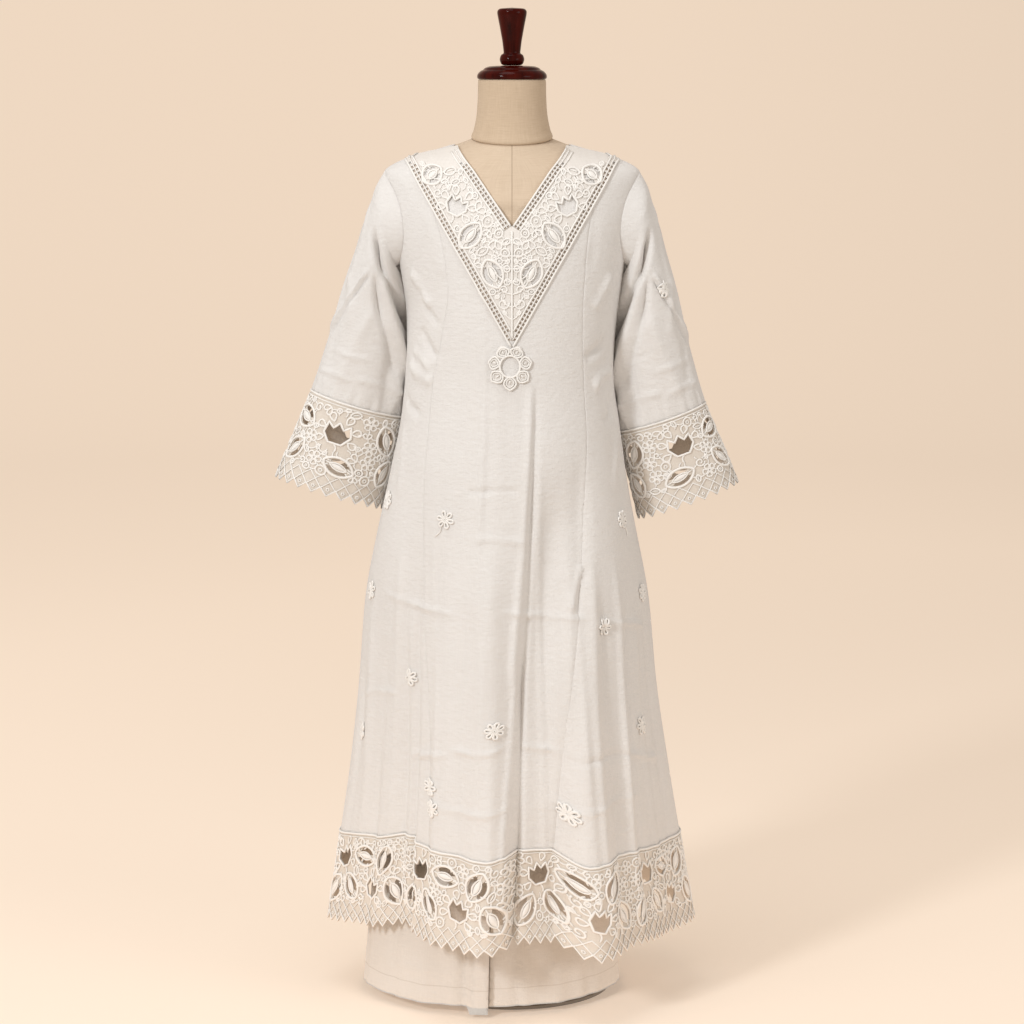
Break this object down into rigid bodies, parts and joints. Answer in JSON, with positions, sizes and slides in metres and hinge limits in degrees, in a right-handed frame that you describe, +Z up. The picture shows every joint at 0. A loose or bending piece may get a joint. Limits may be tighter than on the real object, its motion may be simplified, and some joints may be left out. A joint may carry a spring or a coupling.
{
  "type": "salwar suit on dress form",
  "caption": "White A-line kurta with cutwork lace yoke, cuffs and hem over wide trousers, standing on a limbless dress form.",
  "frame": {"origin": "middle of the stand base's underside, on the floor", "axes": "+Z up, the front faces -Y, the wearer's left side is +X"},
  "size_m": [0.6939, 0.5123, 1.476],
  "materials": {
    "cotton": "matte",
    "lace": "matte",
    "linen": "matte",
    "mahogany": "gloss lacquer",
    "stand": "satin"
  },
  "bodies": {
    "root": {"kurta_front_centre": "cotton", "kurta_front_left": "cotton", "kurta_front_right": "cotton", "kurta_back": "cotton", "hem_lace_front": "lace", "hem_lace_back": "lace", "yoke": "lace", "yoke_flower": "lace", "sleeve_left": "cotton", "sleeve_right": "cotton", "cuff_left_front": "lace", "cuff_left_back": "lace", "cuff_right_front": "lace", "cuff_right_back": "lace", "trouser_leg_left": "cotton", "trouser_leg_right": "cotton", "trouser_waistband": "cotton", "form_torso": "linen", "form_neck": "linen", "neck_cap": "mahogany", "finial": "mahogany", "stand_pole": "stand", "stand_base": "stand"}
  },
  "joints": []
}
